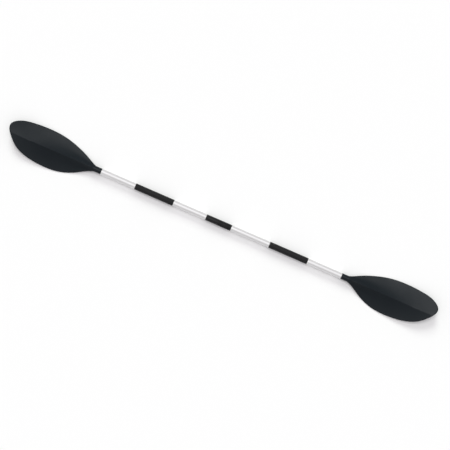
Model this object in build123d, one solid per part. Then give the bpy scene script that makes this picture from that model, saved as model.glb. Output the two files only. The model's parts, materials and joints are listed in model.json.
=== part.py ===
from build123d import *
import math
import os

# Take-apart kayak paddle: two moulded blades, two aluminium shaft tubes with sleeve grips,
# and a moulded twist-lock coupler in the middle.
# X runs along the shaft, Y across the blades and Z up, out of the power faces.
# The paddle lies on the long edges of its blades: the origin is on that surface, at mid-length.
# Everything is modelled about the shaft axis first and lifted onto the surface at the end.

# ---- driving sizes, mm ----
overall_length = 2180.0
blade_reach = 477.0         # from the shaft tube's end to the blade's tip
collar_length = 33.0        # round neck of the blade, flush with the tube
neck_inset = 0.7            # each edge starts this far inside the collar's surface
blade_width = 175.0
blade_thickness = 3.4
tube_diameter = 28.0
tube_wall = 1.2
grip_wall = 0.8
grip_length = 195.0
grip_inner_x = 245.0        # from mid-length to the grip's near end
grip_edge_round = 0.5

# ---- coupler ----
coupler_left_x = -78.0
coupler_length = 128.0
coupler_diameter = 28.4
plug_length = 65.0          # each moulded plug that goes into a tube
plug_wall = 3.0             # of the blade's hollow plug
fit_gap = 0.05              # radial, for every plug or spigot in its bore
inner_tube_diameter = 20.0  # the spigot that joins the halves
inner_tube_wall = 1.5
inner_tube_overlap = 37.0   # how far the spigot reaches past the coupler's sleeve, into the left half
nut_length = 70.0
nut_end_wall = 5.0
nut_thread_wall = 1.7
loose_gap = 0.35            # radial, where a moving piece must not touch
end_gap = 0.2               # axial, where two pieces stop short of each other
shoulder_thickness = 1.5
wedge_length = 12.0         # the tapered clamping ring
wedge_rise = 1.1            # how much its radius grows over its length
wedge_slot = 1.4
wedge_nose_wall = 0.9
washer_thickness = 1.0
seal_section = 2.0          # square seal ring at the nut's mouth
seal_setback = 1.2
sleeve_edge_round = 0.6

# ---- plugs, caps and rivets ----
foam_length = 20.0
foam_setback = 6.0
cap_thickness = 2.0
cap_stem_length = 10.0
socket_beyond_collar = 20.0 # the blade's plug is hollow this far into its spine
rivet_diameter = 4.0
rivet_head_diameter = 7.5
rivet_head_height = 1.2
rivet_tail_diameter = 6.0
rivet_tail_height = 1.6
rivet_setback = 20.0        # from the tube's end to the first rivet
rivet_spacing = 28.0
line_groove_width = 1.5     # turned line on the tube where each grip starts
line_groove_depth = 0.2

# ---- blade form ----
scoop_rise = 27.0           # the tip stands this far above the shaft axis
dihedral_angle = 14.0       # mean fall of each half from the ridge to its widest point
spoon_share = 0.45          # how much steeper each half is at the ridge than that mean
ridge_height = 12.0         # of the spine above the sheet, at the collar
ridge_half_width = 18.0     # of the spine's foot, at the collar
ridge_spread = 34.0         # the foot is this much wider further out
spine_share = 0.75          # the spine has sunk into the sheet at this share of the blade
back_rib_share = 0.8        # height of the rib on the back, against the ridge's
shoulder_length = 74.0      # the round collar dies away into the flanks over this length
shoulder_end_radius = 6.0

# Half-outlines: (share of the blade's length from the collar, share of its half width).
LONG_EDGE = [(0.04, 0.235), (0.10, 0.389), (0.227, 0.663), (0.40, 0.914)]
LONG_EDGE += [(0.60, 1.0), (0.79, 0.94), (0.92, 0.777)]
SHORT_EDGE = [(0.04, 0.225), (0.10, 0.377), (0.227, 0.731), (0.37, 0.954)]
SHORT_EDGE += [(0.50, 1.0), (0.70, 0.90), (0.85, 0.623), (0.95, 0.154)]
TIP_OFFSET = 0.34           # the tip is off the axis, towards the long edge

LEVEL_NECK_SHARE = 0.18      # the sheet comes out of the collar level and takes its full fall here
STATIONS = [-0.02, 0.03, 0.08, 0.13, 0.18, 0.25, 0.34, 0.44, 0.55, 0.66, 0.77, 0.88, 1.0, 1.04]

# ---- sizes that follow ----
tube_end_x = overall_length / 2 - blade_reach
blade_length = blade_reach - collar_length
half_width = blade_width / 2
tube_radius = tube_diameter / 2
tube_bore = tube_radius - tube_wall
plug_radius = tube_bore - fit_gap
plug_bore = plug_radius - plug_wall
grip_radius = tube_radius + grip_wall
coupler_radius = coupler_diameter / 2
coupler_right_x = coupler_left_x + coupler_length
inner_radius = inner_tube_diameter / 2
inner_bore = inner_radius - inner_tube_wall
guide_bore = inner_radius + fit_gap
nut_right_x = coupler_right_x - shoulder_thickness - end_gap
nut_left_x = nut_right_x - nut_length
nut_bore = coupler_radius - nut_thread_wall
neck_radius = nut_bore - loose_gap
washer_right_x = nut_right_x - nut_end_wall
wedge_right_x = washer_right_x - washer_thickness - end_gap
wedge_left_x = wedge_right_x - wedge_length
wedge_small = guide_bore + wedge_nose_wall
wedge_large = wedge_small + wedge_rise
neck_right_x = wedge_right_x - wedge_length / 4
inner_left_x = coupler_left_x - inner_tube_overlap
inner_right_x = coupler_right_x + plug_length
DOWN = -90.0                # rivets are on the underside of the shaft


def tube(radius, bore, x_from, x_to):
    """A round tube along X."""
    ring = Cylinder(radius, x_to - x_from) - Cylinder(bore, x_to - x_from)
    return Pos((x_from + x_to) / 2, 0, 0) * Rot(0, 90, 0) * ring


def rod(radius, x_from, x_to):
    """A solid round bar along X."""
    return Pos((x_from + x_to) / 2, 0, 0) * Rot(0, 90, 0) * Cylinder(radius, x_to - x_from)


def cone(radius_from, radius_to, x_from, x_to):
    """A solid tapered bar along X."""
    taper = Cone(radius_from, radius_to, x_to - x_from)
    return Pos((x_from + x_to) / 2, 0, 0) * Rot(0, 90, 0) * taper


def rounded(shape, radius, x_values, size):
    """Rounds the circular outer edges of this radius at the given places along X."""
    rims = [
        e for e in shape.edges().filter_by(GeomType.CIRCLE)
        if abs(e.radius - radius) < 0.001 and min(abs(e.center().X - x) for x in x_values) < 0.01
    ]
    return fillet(rims, size)


def radial(shape, x, angle):
    """Turns a shape made along +Z about X, so that it points at this angle from +Y, and puts it at x."""
    return Pos(x, 0, 0) * Rot(angle - 90, 0, 0) * shape


def peg(radius, inner, outer, x, angle):
    """A round peg that runs outwards from the shaft's axis, between two radii."""
    return radial(Pos(0, 0, (inner + outer) / 2) * Cylinder(radius, outer - inner), x, angle)


def mirrored(shape):
    """The same piece for the left half."""
    return mirror(shape, about=Plane.YZ)


def lifted(shape):
    """From the shaft's axis to the surface the blades lie on."""
    return Pos(0, 0, axis_height) * shape


def rivet(x, angle, end_radius, with_tail):
    """Blind rivet through the tube: a low head outside, a shank and, where there is room, a tail."""
    head_radius = rivet_head_diameter / 2
    crown = Cylinder(head_radius, 2 * rivet_head_height)
    crown = fillet(crown.edges().sort_by(Axis.Z)[-1], rivet_head_height * 0.6)
    head = radial(Pos(0, 0, tube_radius) * crown, x, angle)
    head -= rod(tube_radius, x - head_radius - 1, x + head_radius + 1)
    shank_end = end_radius - rivet_tail_height if with_tail else end_radius
    whole = head + peg(rivet_diameter / 2, shank_end, tube_radius, x, angle)
    if with_tail:
        tail = peg(rivet_tail_diameter / 2, shank_end, end_radius, x, angle)
        whole += tail & rod(end_radius, x - head_radius, x + head_radius)
    return whole


def flush_pin(x, angle, end_radius):
    """Pin through the tube, dressed flush with it so that a ring can slide over."""
    shank = peg(rivet_diameter / 2, end_radius, tube_radius * 1.2, x, angle)
    return shank & rod(tube_radius, x - rivet_diameter, x + rivet_diameter)


def rivet_places(tube_end, direction):
    """Where the two rivets of a plug go, counted from the end of its tube."""
    first = tube_end + direction * rivet_setback
    return [first, first + direction * rivet_spacing]


def rivet_holes(shape, places, angle):
    """Drills a shape for its rivets."""
    for x in places:
        shape -= peg(rivet_diameter / 2, inner_bore / 2, tube_radius * 1.5, x, angle)
    return shape


# ---- blade ----

def middle_height(share):
    """Height of the blade's ridge line above the shaft axis."""
    return scoop_rise * max(share, 0.0) ** 2


def fall(share, across):
    """How far the sheet lies below its ridge: steep at the ridge, flatter outwards, level at the collar."""
    level_neck = max(0.0, min(1.0, share / LEVEL_NECK_SHARE))
    fade = 1 - 0.85 * max(share, 0.0) ** 4
    spoon = 1 + spoon_share * (1 - across / half_width)
    return math.tan(math.radians(dihedral_angle)) * level_neck * fade * spoon * across


def station(share, outline):
    """A cross-section of the blade: (across, up) points, stood up at its share of the length."""
    x = tube_end_x + collar_length + share * blade_length
    return Plane(origin=(x, 0, 0), x_dir=(0, 1, 0), z_dir=(1, 0, 0)) * outline


def ridge(share, across):
    """How far the spine stands above the sheet: sharp at the ridge line, with hollow flanks."""
    height = ridge_height * max(0.0, 1 - max(share, 0.0) / spine_share) ** 1.3
    foot = ridge_half_width + ridge_spread * min(1.0, max(share, 0.0) / 0.4) ** 0.8
    return height * max(0.0, 1 - across / foot) ** 2


def blade_section(share):
    """Sheet and spine together, wider than the outline that trims them."""
    reach = half_width * 1.15
    middle = middle_height(share)
    t = blade_thickness / 2
    foot = ridge_half_width + ridge_spread * min(1.0, max(share, 0.0) / 0.4) ** 0.8
    steps = [0.0, foot * 0.2, foot * 0.45, foot * 0.75, foot * 1.05, (foot + reach) / 2, reach]
    right_top = [(y, middle - fall(share, y) + t + ridge(share, y)) for y in steps]
    right_low = [(y, middle - fall(share, y) - t - back_rib_share * ridge(share, y)) for y in steps[::-1]]
    left_low = [(-y, z) for y, z in right_low[::-1]]
    left_top = [(-y, z) for y, z in right_top[::-1]]
    edges = [Spline(*right_top), Line(right_top[-1], right_low[0]), Spline(*right_low)]
    edges += [Spline(*left_low), Line(left_low[-1], left_top[0]), Spline(*left_top)]
    return station(share, make_face(edges))


def blade_outline():
    """The blade's plan, with one edge longer than the other."""
    def place(points, side):
        return [(tube_end_x + collar_length + s * blade_length, side * w * half_width) for s, w in points]
    neck_x = tube_end_x + collar_length
    tip = (tube_end_x + blade_reach, TIP_OFFSET * half_width)
    inside = neck_x - collar_length / 2
    wide = tube_radius - neck_inset
    deep = tube_radius - blade_thickness
    top = Spline((neck_x, wide), *place(LONG_EDGE, 1), tip, tangents=[(1, 0.3), (0, -1)])
    bottom = Spline(tip, *place(SHORT_EDGE, -1)[::-1], (neck_x, -wide), tangents=[(0, -1), (-1, 0.3)])
    root = Polyline((neck_x, -wide), (inside, -deep), (inside, deep), (neck_x, wide))
    return make_face([top, bottom, root])


def right_blade():
    """The whole moulding: sheet, spine, collar and the hollow plug that goes into the tube."""
    moulding = loft([blade_section(share) for share in STATIONS])
    moulding = moulding & extrude(blade_outline(), amount=half_width * 2, both=True)
    neck_x = tube_end_x + collar_length
    plug_end = tube_end_x - plug_length
    moulding += rod(tube_radius, tube_end_x, neck_x)
    moulding += cone(tube_radius, shoulder_end_radius, neck_x, neck_x + shoulder_length)
    moulding += rod(plug_radius, plug_end, tube_end_x)
    moulding -= rod(plug_bore, plug_end, neck_x + socket_beyond_collar)
    return rivet_holes(moulding, rivet_places(tube_end_x, -1), DOWN)


# ---- shaft ----

def shaft_tube(inner_end):
    """One shaft tube, drilled for its rivets, with a turned line where the grip starts."""
    whole = tube(tube_radius, tube_bore, inner_end, tube_end_x)
    groove_bore = tube_radius - line_groove_depth
    groove_end = grip_inner_x - end_gap
    whole -= tube(tube_radius + 1, groove_bore, groove_end - line_groove_width, groove_end)
    places = rivet_places(tube_end_x, -1) + rivet_places(inner_end, 1)
    return rivet_holes(whole, places, DOWN)


def grip():
    """Thin rubber sleeve over the tube."""
    far_x = grip_inner_x + grip_length
    sleeve = tube(grip_radius, tube_radius, grip_inner_x, far_x)
    return rounded(sleeve, grip_radius, [grip_inner_x, far_x], grip_edge_round)


def foam_plug(x_from):
    """Foam plug that keeps water out of the tube."""
    return rod(tube_bore - fit_gap, x_from, x_from + foam_length)


def blade_rivets():
    places = rivet_places(tube_end_x, -1)
    return Compound([rivet(x, DOWN, plug_bore, True) for x in places])


# ---- coupler ----

def coupler_body():
    """Moulded sleeve: a plug in the left tube, a flush barrel, and a neck inside the nut."""
    barrel = rod(coupler_radius, coupler_left_x, nut_left_x - end_gap)
    barrel = rounded(barrel, coupler_radius, [coupler_left_x, nut_left_x - end_gap], sleeve_edge_round)
    whole = barrel + rod(plug_radius, coupler_left_x - plug_length, coupler_left_x)
    whole += rod(neck_radius, nut_left_x - end_gap, neck_right_x)
    whole -= rod(guide_bore, coupler_left_x - plug_length, neck_right_x)
    mouth = cone(
        wedge_small + loose_gap, wedge_large + loose_gap, wedge_left_x - end_gap, wedge_right_x
    )
    whole -= mouth
    return rivet_holes(whole, rivet_places(coupler_left_x, -1), DOWN)


def coupler_rivets():
    places = rivet_places(coupler_left_x, -1)
    return Compound([rivet(x, DOWN, guide_bore + loose_gap, False) for x in places])


def lock_nut():
    """Long nut over the coupler's neck: turning it drives the tapered ring onto the spigot."""
    whole = rod(coupler_radius, nut_left_x, nut_right_x)
    whole = rounded(whole, coupler_radius, [nut_left_x, nut_right_x], sleeve_edge_round)
    whole -= rod(nut_bore, nut_left_x, washer_right_x)
    whole -= rod(inner_radius + loose_gap, washer_right_x, nut_right_x)
    seal_x = nut_right_x - seal_setback
    whole -= rod(inner_radius + fit_gap + seal_section, seal_x - seal_section, seal_x)
    return whole


def nut_seal():
    """Seal ring in the nut's mouth, round the spigot."""
    seal_x = nut_right_x - seal_setback
    return tube(inner_radius + fit_gap + seal_section, inner_radius + fit_gap, seal_x - seal_section, seal_x)


def thrust_washer():
    """Slip ring between the nut's end wall and the tapered ring."""
    left_x = washer_right_x - washer_thickness
    return tube(nut_bore - loose_gap, inner_radius + loose_gap, left_x, washer_right_x)


def collet_ring():
    """Split tapered ring that grips the spigot when the nut is turned."""
    whole = cone(wedge_small, wedge_large, wedge_left_x, wedge_right_x)
    whole -= rod(guide_bore, wedge_left_x, wedge_right_x)
    slot = Box(wedge_length * 2, wedge_slot, coupler_diameter)
    return whole - Pos((wedge_left_x + wedge_right_x) / 2, 0, coupler_radius) * slot


# ---- spigot, fixed in the right half ----

def spigot_tube():
    whole = tube(inner_radius, inner_bore, inner_left_x, inner_right_x)
    return rivet_holes(whole, rivet_places(coupler_right_x, 1), DOWN)


def spigot_bush():
    """Reducer between the spigot and the right tube, with a shoulder that the tube stops on."""
    whole = tube(plug_radius, inner_radius, coupler_right_x, inner_right_x)
    shoulder = rod(tube_radius, coupler_right_x - shoulder_thickness, coupler_right_x)
    whole += shoulder - rod(inner_radius, coupler_right_x - shoulder_thickness, coupler_right_x)
    return rivet_holes(whole, rivet_places(coupler_right_x, 1), DOWN)


def spigot_pins():
    places = rivet_places(coupler_right_x, 1)
    return Compound([flush_pin(x, DOWN, inner_bore) for x in places])


def spigot_end_cap():
    """Closes the spigot's free end."""
    cap = rod(inner_radius, inner_left_x - cap_thickness, inner_left_x)
    cap = rounded(cap, inner_radius, [inner_left_x - cap_thickness], cap_thickness / 2)
    return cap + rod(inner_bore, inner_left_x, inner_left_x + cap_stem_length)


blade = right_blade()
axis_height = -min(vertex.Z for vertex in blade.tessellate(0.02)[0])
inner_foam_x = inner_right_x + foam_setback
outer_foam_x = tube_end_x - plug_length - foam_setback - foam_length
left_foam_x = -coupler_left_x + plug_length + foam_setback

nodes = {
    "left_shaft_tube": mirrored(shaft_tube(-coupler_left_x)),
    "left_grip": mirrored(grip()),
    "left_blade": mirrored(blade),
    "left_blade_rivets": mirrored(blade_rivets()),
    "left_blade_end_plug": mirrored(foam_plug(outer_foam_x)),
    "left_inner_end_plug": mirrored(foam_plug(left_foam_x)),
    "coupler_body": coupler_body(),
    "coupler_rivets": coupler_rivets(),
    "lock_nut": lock_nut(),
    "nut_seal": nut_seal(),
    "thrust_washer": thrust_washer(),
    "collet_ring": collet_ring(),
    "spigot_tube": spigot_tube(),
    "spigot_bush": spigot_bush(),
    "spigot_pins": spigot_pins(),
    "spigot_end_cap": spigot_end_cap(),
    "right_shaft_tube": shaft_tube(coupler_right_x),
    "right_grip": grip(),
    "right_blade": blade,
    "right_blade_rivets": blade_rivets(),
    "right_blade_end_plug": foam_plug(outer_foam_x),
    "right_inner_end_plug": foam_plug(inner_foam_x),
}

os.makedirs("parts", exist_ok=True)
for name, shape in nodes.items():
    export_step(lifted(shape), f"parts/{name}.step")
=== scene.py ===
import json
import math

import bmesh
import bpy
import numpy
from mathutils import Matrix, Vector

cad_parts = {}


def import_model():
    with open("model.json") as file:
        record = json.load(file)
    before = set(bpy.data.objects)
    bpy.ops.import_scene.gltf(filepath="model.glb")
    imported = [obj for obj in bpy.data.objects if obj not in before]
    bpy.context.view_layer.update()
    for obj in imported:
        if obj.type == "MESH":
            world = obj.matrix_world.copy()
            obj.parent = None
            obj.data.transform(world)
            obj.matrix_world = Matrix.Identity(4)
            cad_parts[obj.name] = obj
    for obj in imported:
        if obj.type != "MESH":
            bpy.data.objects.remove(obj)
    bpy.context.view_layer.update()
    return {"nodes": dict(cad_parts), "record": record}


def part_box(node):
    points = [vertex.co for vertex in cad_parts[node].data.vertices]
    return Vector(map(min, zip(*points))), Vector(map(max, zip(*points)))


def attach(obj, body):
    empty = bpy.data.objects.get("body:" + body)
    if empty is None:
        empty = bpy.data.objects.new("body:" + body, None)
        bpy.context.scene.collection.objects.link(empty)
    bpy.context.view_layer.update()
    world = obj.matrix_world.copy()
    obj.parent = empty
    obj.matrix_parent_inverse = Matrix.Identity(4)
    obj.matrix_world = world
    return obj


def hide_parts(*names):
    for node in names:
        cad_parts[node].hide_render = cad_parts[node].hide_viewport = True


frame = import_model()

# ---- the paddle's own places, read from the fixed frame (metres) ----
MM = 0.001
TUBE_LOW, TUBE_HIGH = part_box("right_shaft_tube")
AXIS_Z = (TUBE_LOW[2] + TUBE_HIGH[2]) / 2
TUBE_R = (TUBE_HIGH[1] - TUBE_LOW[1]) / 2
BLADE_LOW, BLADE_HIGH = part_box("right_blade")
TUBE_END = TUBE_HIGH[0]
COLLAR = 33 * MM            # length of the blade's round collar
NECK = TUBE_END + COLLAR
TIP = BLADE_HIGH[0]
REACH = TIP - NECK
HALF_WIDTH = 87.5 * MM
PLUG_R = 12.75 * MM         # outside of the blade's plug, which goes into the tube
PLUG_BORE = 9.75 * MM

# ---- blade form: the same rules that the frame's blade is built by ----
# A share runs from 0 at the neck to 1 at the tip.
SHEET = 3.4 * MM            # thickness of the blade away from its rim
RIM = 1.9 * MM              # the rim is rounded over this distance from the edge
SCOOP = 27 * MM             # the tip stands this far above the shaft's axis
FALL = math.tan(math.radians(14.0))   # mean fall of each half from the ridge to the widest point
FALL_LOST = 0.85            # share of the fall that is lost by the tip, where the halves flatten
SPOON = 0.45                # how much steeper each half is at the ridge than that mean
LEVEL_SHARE = 0.243         # the fall grows from nothing at the neck to its full value here
RIDGE_HEIGHT = 12 * MM      # of the ridge above the sheet, at the neck
RIDGE_FOOT = 18 * MM        # half the ridge's width at the neck
RIDGE_SPREAD = 34 * MM      # and how much wider it is further out
RIDGE_SPREAD_SHARE = 0.4    # it is at its widest from here on
RIDGE_SPREAD_POWER = 0.8
RIDGE_SHARE = 0.75          # the ridge has sunk into the sheet here
RIDGE_SINK_POWER = 1.3
BACK_RIB = 0.8              # height of the rib on the back, against the ridge's
RIDGE_END = NECK + 0.955 * REACH      # the ridge line ends here, short of the tip
SHOULDER = 74 * MM          # the round collar dies away over this length
SHOULDER_END = 6 * MM       # down to this height
SHOULDER_FADE = 1.6 * SHOULDER
SHOULDER_NARROWING = 1.3    # how sharply the shoulder falls away to both sides
SOFT_JOIN = 0.8 * MM        # ridge and shoulder run into each other over about this height
NECK_SHARE = 0.07           # the section turns from round to flat up to here
NOSE = 0.34                 # the tip is off the axis, towards the long edge
NECK_SLOPE = 0.3            # of the edges where they leave the collar
EDGE_STEP = 1.5 * MM        # spacing of the points along an edge
NOSE_STEPS = 24             # least number of points on an edge's last stretch, round the nose
COLLAR_STEPS = 8
ROWS = 26                   # faces from the ridge to the rim
RIM_ROWS = 5                # and round the rim's upper or lower side
# each edge from neck to tip, as (share of the length, share of the half width)
LONG_EDGE = [
    (0.0, 0.155), (0.04, 0.235), (0.10, 0.389), (0.227, 0.663),
    (0.40, 0.914), (0.60, 1.0), (0.79, 0.94), (0.92, 0.777),
]
SHORT_EDGE = [
    (0.0, 0.155), (0.04, 0.225), (0.10, 0.377), (0.227, 0.731), (0.37, 0.954),
    (0.50, 1.0), (0.70, 0.90), (0.85, 0.623), (0.95, 0.154),
]

# ---- coupler and grips ----
CORNER = 0.6 * MM           # rounding of the sleeves' ends
GRIP_SINK = 0.1 * MM        # the sleeve under the ribs stands this far back
GRIP_RIB = 0.30 * MM        # radius of a rib
GRIP_RIB_SPACING = 2.4 * MM
GRIP_PLAIN_END = 7 * MM     # the ribs stop at least this far from the grip's ends
NUT_BORE = 12.5 * MM        # radius round the coupler body
NUT_MOUTH = 10.35 * MM      # and round the spigot
NUT_END_WALL = 5 * MM       # length of the mouth
SEAL_SEAT = 12.1 * MM       # radius and width of the seal's seat, and its distance from the mouth
SEAL_WIDTH = 2 * MM
SEAL_SETBACK = 1.2 * MM
NUT_WAIST = 0.45 * MM       # the fluted part lies this far below the bands at its ends
NUT_BAND = 6 * MM           # length of each band
FLUTE_BAR = 0.55 * MM       # radius of the bars between the flutes
FLUTE_SINK = 0.03 * MM      # their tops lie this far below the bands
FLUTES_ROUND = 40

# ---- shaders ----
GRAIN_DEPTH = 0.6 * MM      # of the plastics' and rubbers' grain, before its strength is applied
PATTERN_SPAN = (0.3, 0.7)   # the noise's usual lowest and highest values
GRAIN_GLOSS = 0.05          # how far the roughness wanders either way over a plastic
DRAWN_GLOSS = 0.04          # and over a drawn tube
DRAWN_STRETCH = 2.0         # fineness of the drawn lines along the tube

# ---- camera ----
ROLL = math.radians(23.52)  # the camera is turned this far about its own line of sight
CAMERA_HEIGHT = 7.2
VIEW_WIDTH = 2.1096         # metres seen across the view, at the height of the shaft
SHIFT = (0.008, -0.00278)


# ---- shader building ----

def group_sockets(group, ins, outs):
    """Names a group's inputs, given as (name, kind, default), and its outputs, given as (name, kind)."""
    for name, kind, value in ins:
        group.interface.new_socket(name=name, in_out="INPUT", socket_type=kind).default_value = value
    for name, kind in outs:
        group.interface.new_socket(name=name, in_out="OUTPUT", socket_type=kind)
    return group.nodes.new("NodeGroupInput"), group.nodes.new("NodeGroupOutput")


def wired(tree, kind, settings=None, **sockets):
    """Adds a node, sets its plain settings, and fills its inputs, by name or by place as at0, at1."""
    made = tree.nodes.new(kind)
    for key, value in (settings or {}).items():
        setattr(made, key, value)
    for key, value in sockets.items():
        key = key.replace("_", " ")
        socket = made.inputs[int(key[2:])] if key.startswith("at") else made.inputs[key]
        if isinstance(value, bpy.types.NodeSocket):
            tree.links.new(value, socket)
        else:
            socket.default_value = value
    return made


def moulded_grain():
    """Fine pebbled grain of moulded plastic or rubber: a bumped normal and a soft cloudy mask."""
    group = bpy.data.node_groups.new("moulded_grain", "ShaderNodeTree")
    inside, out = group_sockets(
        group,
        [
            ("Grain Size", "NodeSocketFloat", 900.0),
            ("Depth", "NodeSocketFloat", 0.1),
            ("Cloud Size", "NodeSocketFloat", 9.0),
        ],
        [("Normal", "NodeSocketVector"), ("Cloud", "NodeSocketFloat")],
    )
    place = wired(group, "ShaderNodeTexCoord").outputs["Object"]
    ins = inside.outputs
    pebble = wired(
        group, "ShaderNodeTexNoise", Vector=place, Scale=ins["Grain Size"], Detail=3.0, Roughness=0.6,
    )
    bump = wired(
        group, "ShaderNodeBump", Strength=ins["Depth"], Distance=GRAIN_DEPTH, Height=pebble.outputs["Fac"],
    )
    cloud = wired(
        group, "ShaderNodeTexNoise", Vector=place, Scale=ins["Cloud Size"], Detail=5.0, Roughness=0.55,
    )
    group.links.new(bump.outputs["Normal"], out.inputs["Normal"])
    group.links.new(cloud.outputs["Fac"], out.inputs["Cloud"])
    return group


GRAIN = moulded_grain()


def plain_material(name, base, roughness, metallic=0.0):
    """Returns the material with its tree and its shader."""
    material = bpy.data.materials.new(name)
    material.use_nodes = True
    shader = material.node_tree.nodes["Principled BSDF"]
    shader.inputs["Base Color"].default_value = (*base, 1.0)
    shader.inputs["Roughness"].default_value = roughness
    shader.inputs["Metallic"].default_value = metallic
    return material, material.node_tree, shader


def vary_gloss(tree, shader, pattern, roughness, spread):
    """Lets the roughness follow a pattern, by a spread either way."""
    pattern_low, pattern_high = PATTERN_SPAN
    gloss = wired(
        tree, "ShaderNodeMapRange", Value=pattern, From_Min=pattern_low, From_Max=pattern_high,
        To_Min=roughness - spread, To_Max=roughness + spread,
    )
    tree.links.new(gloss.outputs[0], shader.inputs["Roughness"])


def moulded(name, base, paler, roughness, grain_size, depth, specular=0.5):
    """Moulded plastic, rubber or foam whose colour and gloss vary a little over the surface."""
    material, tree, shader = plain_material(name, base, roughness)
    grain = tree.nodes.new("ShaderNodeGroup")
    grain.node_tree = GRAIN
    grain.inputs["Grain Size"].default_value = grain_size
    grain.inputs["Depth"].default_value = depth
    mix = wired(tree, "ShaderNodeMix", {"data_type": "RGBA"})
    mix.inputs[6].default_value = (*base, 1.0)
    mix.inputs[7].default_value = (*paler, 1.0)
    tree.links.new(grain.outputs["Cloud"], mix.inputs[0])
    tree.links.new(mix.outputs[2], shader.inputs["Base Color"])
    vary_gloss(tree, shader, grain.outputs["Cloud"], roughness, GRAIN_GLOSS)
    tree.links.new(grain.outputs["Normal"], shader.inputs["Normal"])
    shader.inputs["Specular IOR Level"].default_value = specular
    return material


def drawn_lines():
    """Faint lines left along a drawn tube, as a value about 0.5."""
    group = bpy.data.node_groups.new("drawn_lines", "ShaderNodeTree")
    inside, out = group_sockets(
        group, [("Fineness", "NodeSocketFloat", 900.0)], [("Line", "NodeSocketFloat")],
    )
    place = wired(group, "ShaderNodeTexCoord").outputs["Object"]
    fineness = inside.outputs["Fineness"]
    stretch = wired(group, "ShaderNodeCombineXYZ", X=DRAWN_STRETCH, Y=fineness, Z=fineness)
    drawn = wired(
        group, "ShaderNodeVectorMath", {"operation": "MULTIPLY"}, at0=place, at1=stretch.outputs[0],
    )
    noise = wired(group, "ShaderNodeTexNoise", Vector=drawn.outputs[0], Scale=1.0, Detail=2.0)
    group.links.new(noise.outputs["Fac"], out.inputs["Line"])
    return group


DRAWN = drawn_lines()


def tube_metal(name, base, roughness):
    """Drawn aluminium whose gloss varies a little in lines along the tube."""
    material, tree, shader = plain_material(name, base, roughness, 1.0)
    lines = tree.nodes.new("ShaderNodeGroup")
    lines.node_tree = DRAWN
    vary_gloss(tree, shader, lines.outputs["Line"], roughness, DRAWN_GLOSS)
    return material


MATERIALS = {
    "blade_plastic": moulded(
        "slate_blade_plastic", base=(0.0030, 0.0064, 0.0092), paler=(0.0048, 0.0088, 0.0120),
        roughness=0.43, grain_size=1400.0, depth=0.10, specular=0.25,
    ),
    "coupler_plastic": moulded(
        "black_coupler_plastic", base=(0.0085, 0.0088, 0.0092), paler=(0.0120, 0.0124, 0.0130),
        roughness=0.5, grain_size=1800.0, depth=0.15, specular=0.25,
    ),
    "grip_rubber": moulded(
        "black_grip_rubber", base=(0.0090, 0.0092, 0.0096), paler=(0.0125, 0.0128, 0.0132),
        roughness=0.62, grain_size=1500.0, depth=0.2, specular=0.25,
    ),
    "seal_rubber": moulded(
        "seal_rubber", base=(0.012, 0.012, 0.012), paler=(0.018, 0.018, 0.018),
        roughness=0.6, grain_size=1500.0, depth=0.1,
    ),
    "washer_plastic": moulded(
        "cream_washer_plastic", base=(0.55, 0.53, 0.47), paler=(0.62, 0.60, 0.54),
        roughness=0.4, grain_size=1500.0, depth=0.05,
    ),
    "foam": moulded(
        "grey_foam", base=(0.10, 0.10, 0.105), paler=(0.14, 0.14, 0.145),
        roughness=0.85, grain_size=900.0, depth=0.6,
    ),
    "anodised_tube": tube_metal("satin_anodised_tube", (0.90, 0.90, 0.895), roughness=0.62),
    "spigot_metal": tube_metal("drawn_spigot_tube", (0.62, 0.63, 0.64), roughness=0.28),
    "rivet_metal": plain_material("rivet_metal", (0.50, 0.50, 0.51), roughness=0.35, metallic=1.0)[0],
}

SLOT_OF = {part["node"]: part["material_slot"] for part in frame["record"]["subparts"]}
for node_name, node in frame["nodes"].items():
    material = MATERIALS[SLOT_OF[node_name]]
    for used in node.material_slots:
        used.material = material


# ---- meshes ----

def piece(name, mesh, body, slot_name, stands_for=()):
    """A finished piece: its object sits at the origin, moves with a body and stands for CAD nodes."""
    made = bpy.data.objects.new(name, mesh)
    bpy.context.scene.collection.objects.link(made)
    if not mesh.materials:
        mesh.materials.append(MATERIALS[slot_name])
    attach(made, body)
    if stands_for:
        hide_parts(*stands_for)


def closed_mesh(name, bm, smooth_angle=35.0):
    """Merges doubles, closes open ends, turns every face outwards and shades smoothly up to an angle."""
    bmesh.ops.remove_doubles(bm, verts=bm.verts, dist=0.002 * MM)
    bmesh.ops.dissolve_degenerate(bm, edges=bm.edges, dist=0.001 * MM)
    bmesh.ops.holes_fill(bm, edges=[edge for edge in bm.edges if edge.is_boundary], sides=0)
    bmesh.ops.recalc_face_normals(bm, faces=bm.faces)
    mesh = bpy.data.meshes.new(name)
    bm.to_mesh(mesh)
    bm.free()
    mesh.shade_smooth()
    mesh.set_sharp_from_angle(angle=math.radians(smooth_angle))
    return mesh


def lathe(bm, outline, turns=96):
    """Revolves a closed (x, radius) outline about the shaft's axis."""
    rings = []
    for x, radius in outline:
        ring = []
        for i in range(turns):
            angle = 2 * math.pi * i / turns
            ring.append(bm.verts.new((x, radius * math.cos(angle), AXIS_Z + radius * math.sin(angle))))
        rings.append(ring)
    for j in range(len(rings)):
        this, after = rings[j], rings[(j + 1) % len(rings)]
        for i in range(turns):
            n = (i + 1) % turns
            bm.faces.new((this[i], this[n], after[n], after[i]))


def rounded_ends(x_from, x_to, radius, size=CORNER, steps=5):
    """Outer side of a sleeve's outline, with rounded corners."""
    points = []
    for i in range(steps + 1):
        angle = math.pi / 2 * i / steps
        points.append((x_from + size * (1 - math.sin(angle)), radius - size * (1 - math.cos(angle))))
    points = points[::-1]
    mirrored_points = [(x_from + x_to - x, r) for x, r in points[::-1]]
    return points + mirrored_points


# ---- blade ----

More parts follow.
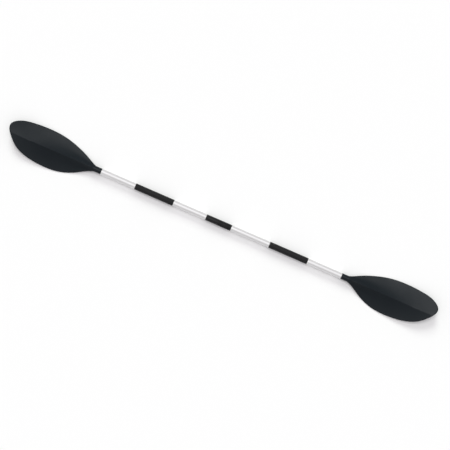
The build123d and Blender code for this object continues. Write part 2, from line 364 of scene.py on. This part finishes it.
def smooth_curve(points, slope_start, nose):
    """Samples one edge from the neck to the nose, along one cubic spline through its points."""
    knots = [Vector(point) for point in points] + [Vector(nose)]
    gaps = [(after - before).length for before, after in zip(knots, knots[1:])]
    last = len(knots) - 1
    side = 1.0 if points[0][1] > 0 else -1.0
    system = numpy.zeros((last + 1, last + 1))
    right = numpy.zeros((last + 1, 2))
    system[0, 0] = system[last, last] = 1.0
    right[0] = Vector((1.0, slope_start)).normalized()
    right[last] = (0.0, -side)
    for i in range(1, last):
        before, after = gaps[i - 1], gaps[i]
        system[i, i - 1: i + 2] = (after, 2 * (before + after), before)
        step_in = (knots[i] - knots[i - 1]) / before
        step_out = (knots[i + 1] - knots[i]) / after
        right[i] = 3 * (step_in * after + step_out * before)
    tangents = [Vector(row) for row in numpy.linalg.solve(system, right)]
    samples = []
    for i, gap in enumerate(gaps):
        count = max(NOSE_STEPS if i == last - 1 else 4, round(gap / EDGE_STEP))
        for k in range(count):
            t = k / count
            h = (2 * t**3 - 3 * t**2 + 1, t**3 - 2 * t**2 + t, -2 * t**3 + 3 * t**2, t**3 - t**2)
            ends = knots[i] * h[0] + knots[i + 1] * h[2]
            samples.append(ends + (tangents[i] * h[1] + tangents[i + 1] * h[3]) * gap)
    samples.append(knots[-1])
    return eased(samples)


def eased(samples, passes=50, neck_samples=6, nose_samples=36):
    """Evens out the curvature of a sampled edge; the neck's end and the nose stay where they are."""
    last = len(samples) - 1
    weights = [min(1.0, i / neck_samples, (last - i) / nose_samples) for i in range(1, last)]
    for _ in range(passes):
        middles = [(before + after) / 2 for before, after in zip(samples, samples[2:])]
        inner = zip(samples[1:], middles, weights)
        moved = [point.lerp(middle, weight / 2) for point, middle, weight in inner]
        samples = [samples[0]] + moved + [samples[-1]]
    return samples


def in_step(samples, ridge_end):
    """Resamples an edge in step with the other one up to the ridge's end, so that the halves meet."""
    shared = []
    count = round((ridge_end - NECK) / (2 * EDGE_STEP))
    k = 0
    for i in range(count + 1):
        x = NECK + (ridge_end - NECK) * i / count
        while samples[k + 1].x < x:
            k += 1
        share = (x - samples[k].x) / (samples[k + 1].x - samples[k].x)
        shared.append(samples[k].lerp(samples[k + 1], share))
    return shared + [point for point in samples if point.x > ridge_end + EDGE_STEP / 4]


def ridge_foot(share):
    """Half the ridge's width."""
    return RIDGE_FOOT + RIDGE_SPREAD * min(1.0, share / RIDGE_SPREAD_SHARE) ** RIDGE_SPREAD_POWER


def blade_heights(x, y, from_edge):
    """Top and underside of the blade above the shaft's axis, at a distance from its edge."""
    share = (x - NECK) / REACH
    out = max(share, 0.0)
    away = abs(y)
    level = max(0.0, min(1.0, share / LEVEL_SHARE))
    level = level * (2 - level)
    drop = FALL * level * (1 - FALL_LOST * out**4) * (1 + SPOON * (1 - away / HALF_WIDTH)) * away
    middle = SCOOP * out**2 - drop
    round_off = 1 - min(1.0, from_edge / RIM)
    half = SHEET / 2 * math.sqrt(max(0.0, 1 - round_off**2))
    # the ridge, and the round collar dying away into it
    height = RIDGE_HEIGHT * max(0.0, 1 - out / RIDGE_SHARE) ** RIDGE_SINK_POWER
    ridge = height * max(0.0, 1 - away / ridge_foot(out)) ** 2
    past_neck = max(0.0, x - NECK)
    shoulder = TUBE_R - (TUBE_R - SHOULDER_END) * past_neck / SHOULDER - SHEET / 2
    fade = max(0.0, 1 - past_neck / SHOULDER_FADE) ** 2
    swell = max(0.0, shoulder) * fade * math.exp(-SHOULDER_NARROWING * (away / TUBE_R) ** 2)
    spine = (ridge + swell + math.sqrt((ridge - swell) ** 2 + SOFT_JOIN**2) - SOFT_JOIN) / 2
    spine = max(0.0, spine) * min(1.0, from_edge / (2 * RIM))
    top, low = middle + half + spine, middle - half - BACK_RIB * spine
    flat = max(0.0, min(1.0, share / NECK_SHARE))
    flat = flat * flat * (3 - 2 * flat)
    if flat < 1.0:
        width = away + from_edge
        oval = TUBE_R * math.sqrt(max(0.0, 1 - (away / width) ** 2))
        top, low = oval + (top - oval) * flat, -oval + (low + oval) * flat
    return top, low


def blade_half(bm, side, edge, mirror_x):
    """One half of the blade, from its ridge line to one edge, top and underside."""
    collar = [Vector((TUBE_END + COLLAR * i / COLLAR_STEPS, side * TUBE_R)) for i in range(COLLAR_STEPS)]
    path = collar + edge
    columns = []
    for i, point in enumerate(path):
        before, after = path[max(i - 1, 0)], path[min(i + 1, len(path) - 1)]
        along = (after - before).normalized()
        inward = Vector((along.y, -along.x)) * side
        if i <= len(collar):
            inward = Vector((0.0, -side))
        if i == len(path) - 1:
            inward = Vector((-1.0, 0.0))
        spine_point = Vector((min(point.x, RIDGE_END), 0.0))
        inner = point + inward * RIM
        column = []
        for k in range(ROWS):
            t = k / ROWS
            t = (t + math.sin(math.pi / 2 * t)) / 2
            place = spine_point.lerp(inner, t)
            column.append((place, RIM + (inner - place).length))
        for k in range(RIM_ROWS + 1):
            distance = RIM * (1 - math.sin(math.pi / 2 * k / RIM_ROWS))
            column.append((point + inward * distance, distance))
        columns.append(column)
    for upper in (True, False):
        grid = []
        for column in columns:
            line = []
            for place, distance in column:
                top, low = blade_heights(place.x, place.y, distance)
                z = top if upper else low
                line.append(bm.verts.new((mirror_x * place.x, place.y, AXIS_Z + z)))
            grid.append(line)
        for one, two in zip(grid, grid[1:]):
            for k in range(len(one) - 1):
                bm.faces.new((one[k], one[k + 1], two[k + 1], two[k]))


def blade(side_name, mirror_x):
    """A whole blade; the left one is the right one mirrored, with mirror_x -1."""
    bm = bmesh.new()
    nose = (TIP, NOSE * HALF_WIDTH)
    for side, edge in ((1, LONG_EDGE), (-1, SHORT_EDGE)):
        points = [(NECK + share * REACH, side * width * HALF_WIDTH) for share, width in edge]
        points[0] = (NECK, side * TUBE_R)
        edge_line = in_step(smooth_curve(points, side * NECK_SLOPE, nose), RIDGE_END)
        blade_half(bm, side, edge_line, mirror_x)
    # the hollow plug inside the tube; its end is sunk into the collar, clear of the collar's own points
    outline = [
        (TUBE_END, TUBE_R - 0.02 * MM), (TUBE_END, PLUG_R),
        (BLADE_LOW[0], PLUG_R), (BLADE_LOW[0], PLUG_BORE),
        (TUBE_END + 0.01 * MM, PLUG_BORE), (TUBE_END + 2 * MM, TUBE_R - 0.5 * MM),
    ]
    lathe(bm, [(mirror_x * x, radius) for x, radius in outline])
    name = side_name + "_moulded_blade"
    mesh = closed_mesh(name, bm, smooth_angle=30.0)
    piece(name, mesh, side_name + "_half", "blade_plastic", (side_name + "_blade",))


for side_name, mirror_x in (("left", -1), ("right", 1)):
    blade(side_name, mirror_x)


# ---- repeating ribs, made by Geometry Nodes ----

ACROSS = (0.0, math.pi / 2, 0.0)    # turns a tree's own axis from upright to along the shaft


def tree_input(tree, name, kind, value=None):
    """Adds a named input and returns the identifier that a modifier knows it by."""
    made = tree.interface.new_socket(name=name, in_out="INPUT", socket_type=kind)
    if value is not None:
        made.default_value = value
    return made.identifier


def rib_ring_tree():
    """A row of rings along the shaft: start, spacing, count, ring radius and rib radius."""
    tree = bpy.data.node_groups.new("rib_rings", "GeometryNodeTree")
    tree.interface.new_socket(name="Geometry", in_out="OUTPUT", socket_type="NodeSocketGeometry")
    names = {
        "Start": tree_input(tree, "Start", "NodeSocketVector", (0.0, 0.0, 0.0)),
        "Spacing": tree_input(tree, "Spacing", "NodeSocketFloat", 0.003),
        "Count": tree_input(tree, "Count", "NodeSocketInt", 10),
        "Ring Radius": tree_input(tree, "Ring Radius", "NodeSocketFloat", 0.014),
        "Rib Radius": tree_input(tree, "Rib Radius", "NodeSocketFloat", 0.0004),
        "Material": tree_input(tree, "Material", "NodeSocketMaterial"),
    }
    inside, out = tree.nodes.new("NodeGroupInput"), tree.nodes.new("NodeGroupOutput")
    ins = inside.outputs
    step = wired(tree, "ShaderNodeCombineXYZ", X=ins["Spacing"])
    line = wired(
        tree, "GeometryNodeMeshLine", {"mode": "OFFSET"},
        Count=ins["Count"], Start_Location=ins["Start"], Offset=step.outputs[0],
    )
    ring = wired(
        tree, "GeometryNodeCurvePrimitiveCircle", {"mode": "RADIUS"},
        Resolution=72, Radius=ins["Ring Radius"],
    )
    bead = wired(
        tree, "GeometryNodeCurvePrimitiveCircle", {"mode": "RADIUS"},
        Resolution=6, Radius=ins["Rib Radius"],
    )
    hoop = wired(
        tree, "GeometryNodeCurveToMesh", Curve=ring.outputs["Curve"], Profile_Curve=bead.outputs["Curve"],
    )
    spread = wired(
        tree, "GeometryNodeInstanceOnPoints",
        Points=line.outputs["Mesh"], Instance=hoop.outputs["Mesh"], Rotation=ACROSS,
    )
    return finished_tree(tree, spread.outputs["Instances"], inside, out), names


def flute_tree():
    """Rounded bars set side by side round the shaft: centre, length, count, circle and bar radius."""
    tree = bpy.data.node_groups.new("grip_flutes", "GeometryNodeTree")
    tree.interface.new_socket(name="Geometry", in_out="OUTPUT", socket_type="NodeSocketGeometry")
    names = {
        "Centre": tree_input(tree, "Centre", "NodeSocketVector", (0.0, 0.0, 0.0)),
        "Length": tree_input(tree, "Length", "NodeSocketFloat", 0.05),
        "Count": tree_input(tree, "Count", "NodeSocketInt", 24),
        "Circle Radius": tree_input(tree, "Circle Radius", "NodeSocketFloat", 0.0135),
        "Bar Radius": tree_input(tree, "Bar Radius", "NodeSocketFloat", 0.0006),
        "Material": tree_input(tree, "Material", "NodeSocketMaterial"),
    }
    inside, out = tree.nodes.new("NodeGroupInput"), tree.nodes.new("NodeGroupOutput")
    ins = inside.outputs
    circle = wired(tree, "GeometryNodeMeshCircle", Vertices=ins["Count"], Radius=ins["Circle Radius"])
    bar = wired(
        tree, "GeometryNodeMeshCylinder", Vertices=10, Radius=ins["Bar Radius"], Depth=ins["Length"],
    )
    spread = wired(
        tree, "GeometryNodeInstanceOnPoints", Points=circle.outputs["Mesh"], Instance=bar.outputs["Mesh"],
    )
    along = wired(
        tree, "GeometryNodeTransform",
        Geometry=spread.outputs["Instances"], Translation=ins["Centre"], Rotation=ACROSS,
    )
    return finished_tree(tree, along.outputs["Geometry"], inside, out), names


def finished_tree(tree, instances, inside, out):
    """Every tree ends the same way: real geometry, smooth, with its material."""
    real = wired(tree, "GeometryNodeRealizeInstances", Geometry=instances)
    smooth = wired(tree, "GeometryNodeSetShadeSmooth", Geometry=real.outputs["Geometry"])
    dressed = wired(
        tree, "GeometryNodeSetMaterial",
        Geometry=smooth.outputs["Geometry"], Material=inside.outputs["Material"],
    )
    tree.links.new(dressed.outputs["Geometry"], out.inputs["Geometry"])
    return tree


def grown(name, tree_and_names, values):
    """Runs a tree on an empty mesh and returns the result as a plain mesh."""
    tree, names = tree_and_names
    holder = bpy.data.objects.new(name + "_holder", bpy.data.meshes.new(name + "_seed"))
    bpy.context.scene.collection.objects.link(holder)
    modifier = holder.modifiers.new("grow", "NODES")
    modifier.node_group = tree
    for key, value in values.items():
        modifier[names[key]] = value
    depsgraph = bpy.context.evaluated_depsgraph_get()
    mesh = bpy.data.meshes.new_from_object(holder.evaluated_get(depsgraph), depsgraph=depsgraph)
    mesh.name = name
    holder.modifiers.remove(modifier)
    bpy.data.objects.remove(holder)
    return mesh


RIB_RINGS = rib_ring_tree()
FLUTES = flute_tree()


# ---- grips, coupler and nut ----

def ribbed_grip(side_name):
    """A plain round sleeve with rounded corners, and rings standing out of it."""
    node, body = side_name + "_grip", side_name + "_half"
    low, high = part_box(node)
    outer = (high[1] - low[1]) / 2
    bm = bmesh.new()
    outline = rounded_ends(low[0], high[0], outer - GRIP_SINK)
    lathe(bm, [(low[0], TUBE_R)] + outline + [(high[0], TUBE_R)])
    name = node + "_sleeve"
    piece(name, closed_mesh(name, bm), body, "grip_rubber", (node,))
    count = int((high[0] - low[0] - 2 * GRIP_PLAIN_END) / GRIP_RIB_SPACING) + 1
    start = (low[0] + high[0]) / 2 - GRIP_RIB_SPACING * (count - 1) / 2
    name = node + "_ribs"
    mesh = grown(name, RIB_RINGS, {
        "Start": (start, 0.0, AXIS_Z), "Spacing": GRIP_RIB_SPACING, "Count": count,
        "Ring Radius": outer - GRIP_RIB, "Rib Radius": GRIP_RIB, "Material": MATERIALS["grip_rubber"],
    })
    piece(name, mesh, body, "grip_rubber")


def fluted_nut():
    """The turning half of the coupler, with bars round its waist for the hand to hold."""
    low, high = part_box("lock_nut")
    outer = (high[1] - low[1]) / 2
    x0, x1 = low[0], high[0]
    waist_from, waist_to = x0 + NUT_BAND + NUT_WAIST, x1 - NUT_BAND - NUT_WAIST
    seal_to = x1 - SEAL_SETBACK
    seal_from = seal_to - SEAL_WIDTH
    # outside from end to end, then back along the mouth, the seal's seat and the bore
    outline = [(x0, NUT_BORE)] + rounded_ends(x0, x0 + NUT_BAND, outer)
    outline += [(waist_from, outer - NUT_WAIST), (waist_to, outer - NUT_WAIST)]
    outline += rounded_ends(x1 - NUT_BAND, x1, outer)
    outline += [(x1, NUT_MOUTH), (seal_to, NUT_MOUTH), (seal_to, SEAL_SEAT)]
    outline += [(seal_from, SEAL_SEAT), (seal_from, NUT_MOUTH)]
    outline += [(x1 - NUT_END_WALL, NUT_MOUTH), (x1 - NUT_END_WALL, NUT_BORE)]
    bm = bmesh.new()
    lathe(bm, outline)
    name = "lock_nut_shell"
    piece(name, closed_mesh(name, bm), "nut", "coupler_plastic", ("lock_nut",))
    name = "lock_nut_flutes"
    mesh = grown(name, FLUTES, {
        "Centre": ((x0 + x1) / 2, 0.0, AXIS_Z), "Length": waist_to - waist_from,
        "Count": FLUTES_ROUND, "Circle Radius": outer - FLUTE_BAR - FLUTE_SINK, "Bar Radius": FLUTE_BAR,
        "Material": MATERIALS["coupler_plastic"],
    })
    piece(name, mesh, "nut", "coupler_plastic")


for side_name in ("left", "right"):
    ribbed_grip(side_name)
fluted_nut()


# ---- floor, light and camera ----

def floor():
    """A white ground, much wider than the view."""
    bpy.ops.mesh.primitive_plane_add(size=30.0, location=(0.0, 0.0, 0.0))
    ground = bpy.context.object
    ground.name = "floor"
    ground.data.materials.append(plain_material("white_floor", (0.95, 0.95, 0.95), roughness=0.9)[0])


def sun(name, lean, turn, spread, power, colour=(1.0, 1.0, 1.0)):
    """Even light from a round patch of sky; angles in degrees, the lean towards the blades' long edges."""
    data = bpy.data.lights.new(name, "SUN")
    data.angle = math.radians(spread)
    data.energy = power
    data.color = colour
    made = bpy.data.objects.new(name, data)
    bpy.context.scene.collection.objects.link(made)
    turned = Matrix.Rotation(ROLL + math.radians(turn), 3, "Z")
    made.rotation_euler = (turned @ Matrix.Rotation(math.radians(-lean), 3, "X")).to_euler()
    return made


def world(strength, colour):
    """The same light from the whole sky."""
    sky = bpy.data.worlds.new("studio")
    bpy.context.scene.world = sky
    sky.use_nodes = True
    sky.node_tree.nodes["Background"].inputs["Color"].default_value = (*colour, 1.0)
    sky.node_tree.nodes["Background"].inputs["Strength"].default_value = strength


def camera():
    """Looks straight down on the paddle, which lies slanting across the view."""
    data = bpy.data.cameras.new("camera")
    made = bpy.data.objects.new("camera", data)
    bpy.context.scene.collection.objects.link(made)
    data.lens_unit = "FOV"
    data.sensor_fit = "AUTO"
    data.angle = 2 * math.atan(VIEW_WIDTH / 2 / (CAMERA_HEIGHT - AXIS_Z))
    data.shift_x, data.shift_y = SHIFT
    data.clip_end = 100.0
    made.matrix_world = Matrix.Translation((0.0, 0.0, CAMERA_HEIGHT)) @ Matrix.Rotation(ROLL, 4, "Z")
    bpy.context.scene.camera = made


floor()
world(strength=0.485, colour=(1.0, 0.969, 1.0))
sun("soft_key", lean=14.0, turn=4.0, spread=36.0, power=1.10)
low_light = sun("low_side_light", lean=57.5, turn=0.0, spread=25.0, power=1.42, colour=(0.94, 1.0, 0.94))
low_light.visible_glossy = False    # it gives soft shadows, but no streak on the metal
camera()
bpy.context.scene.view_settings.view_transform = "Standard"
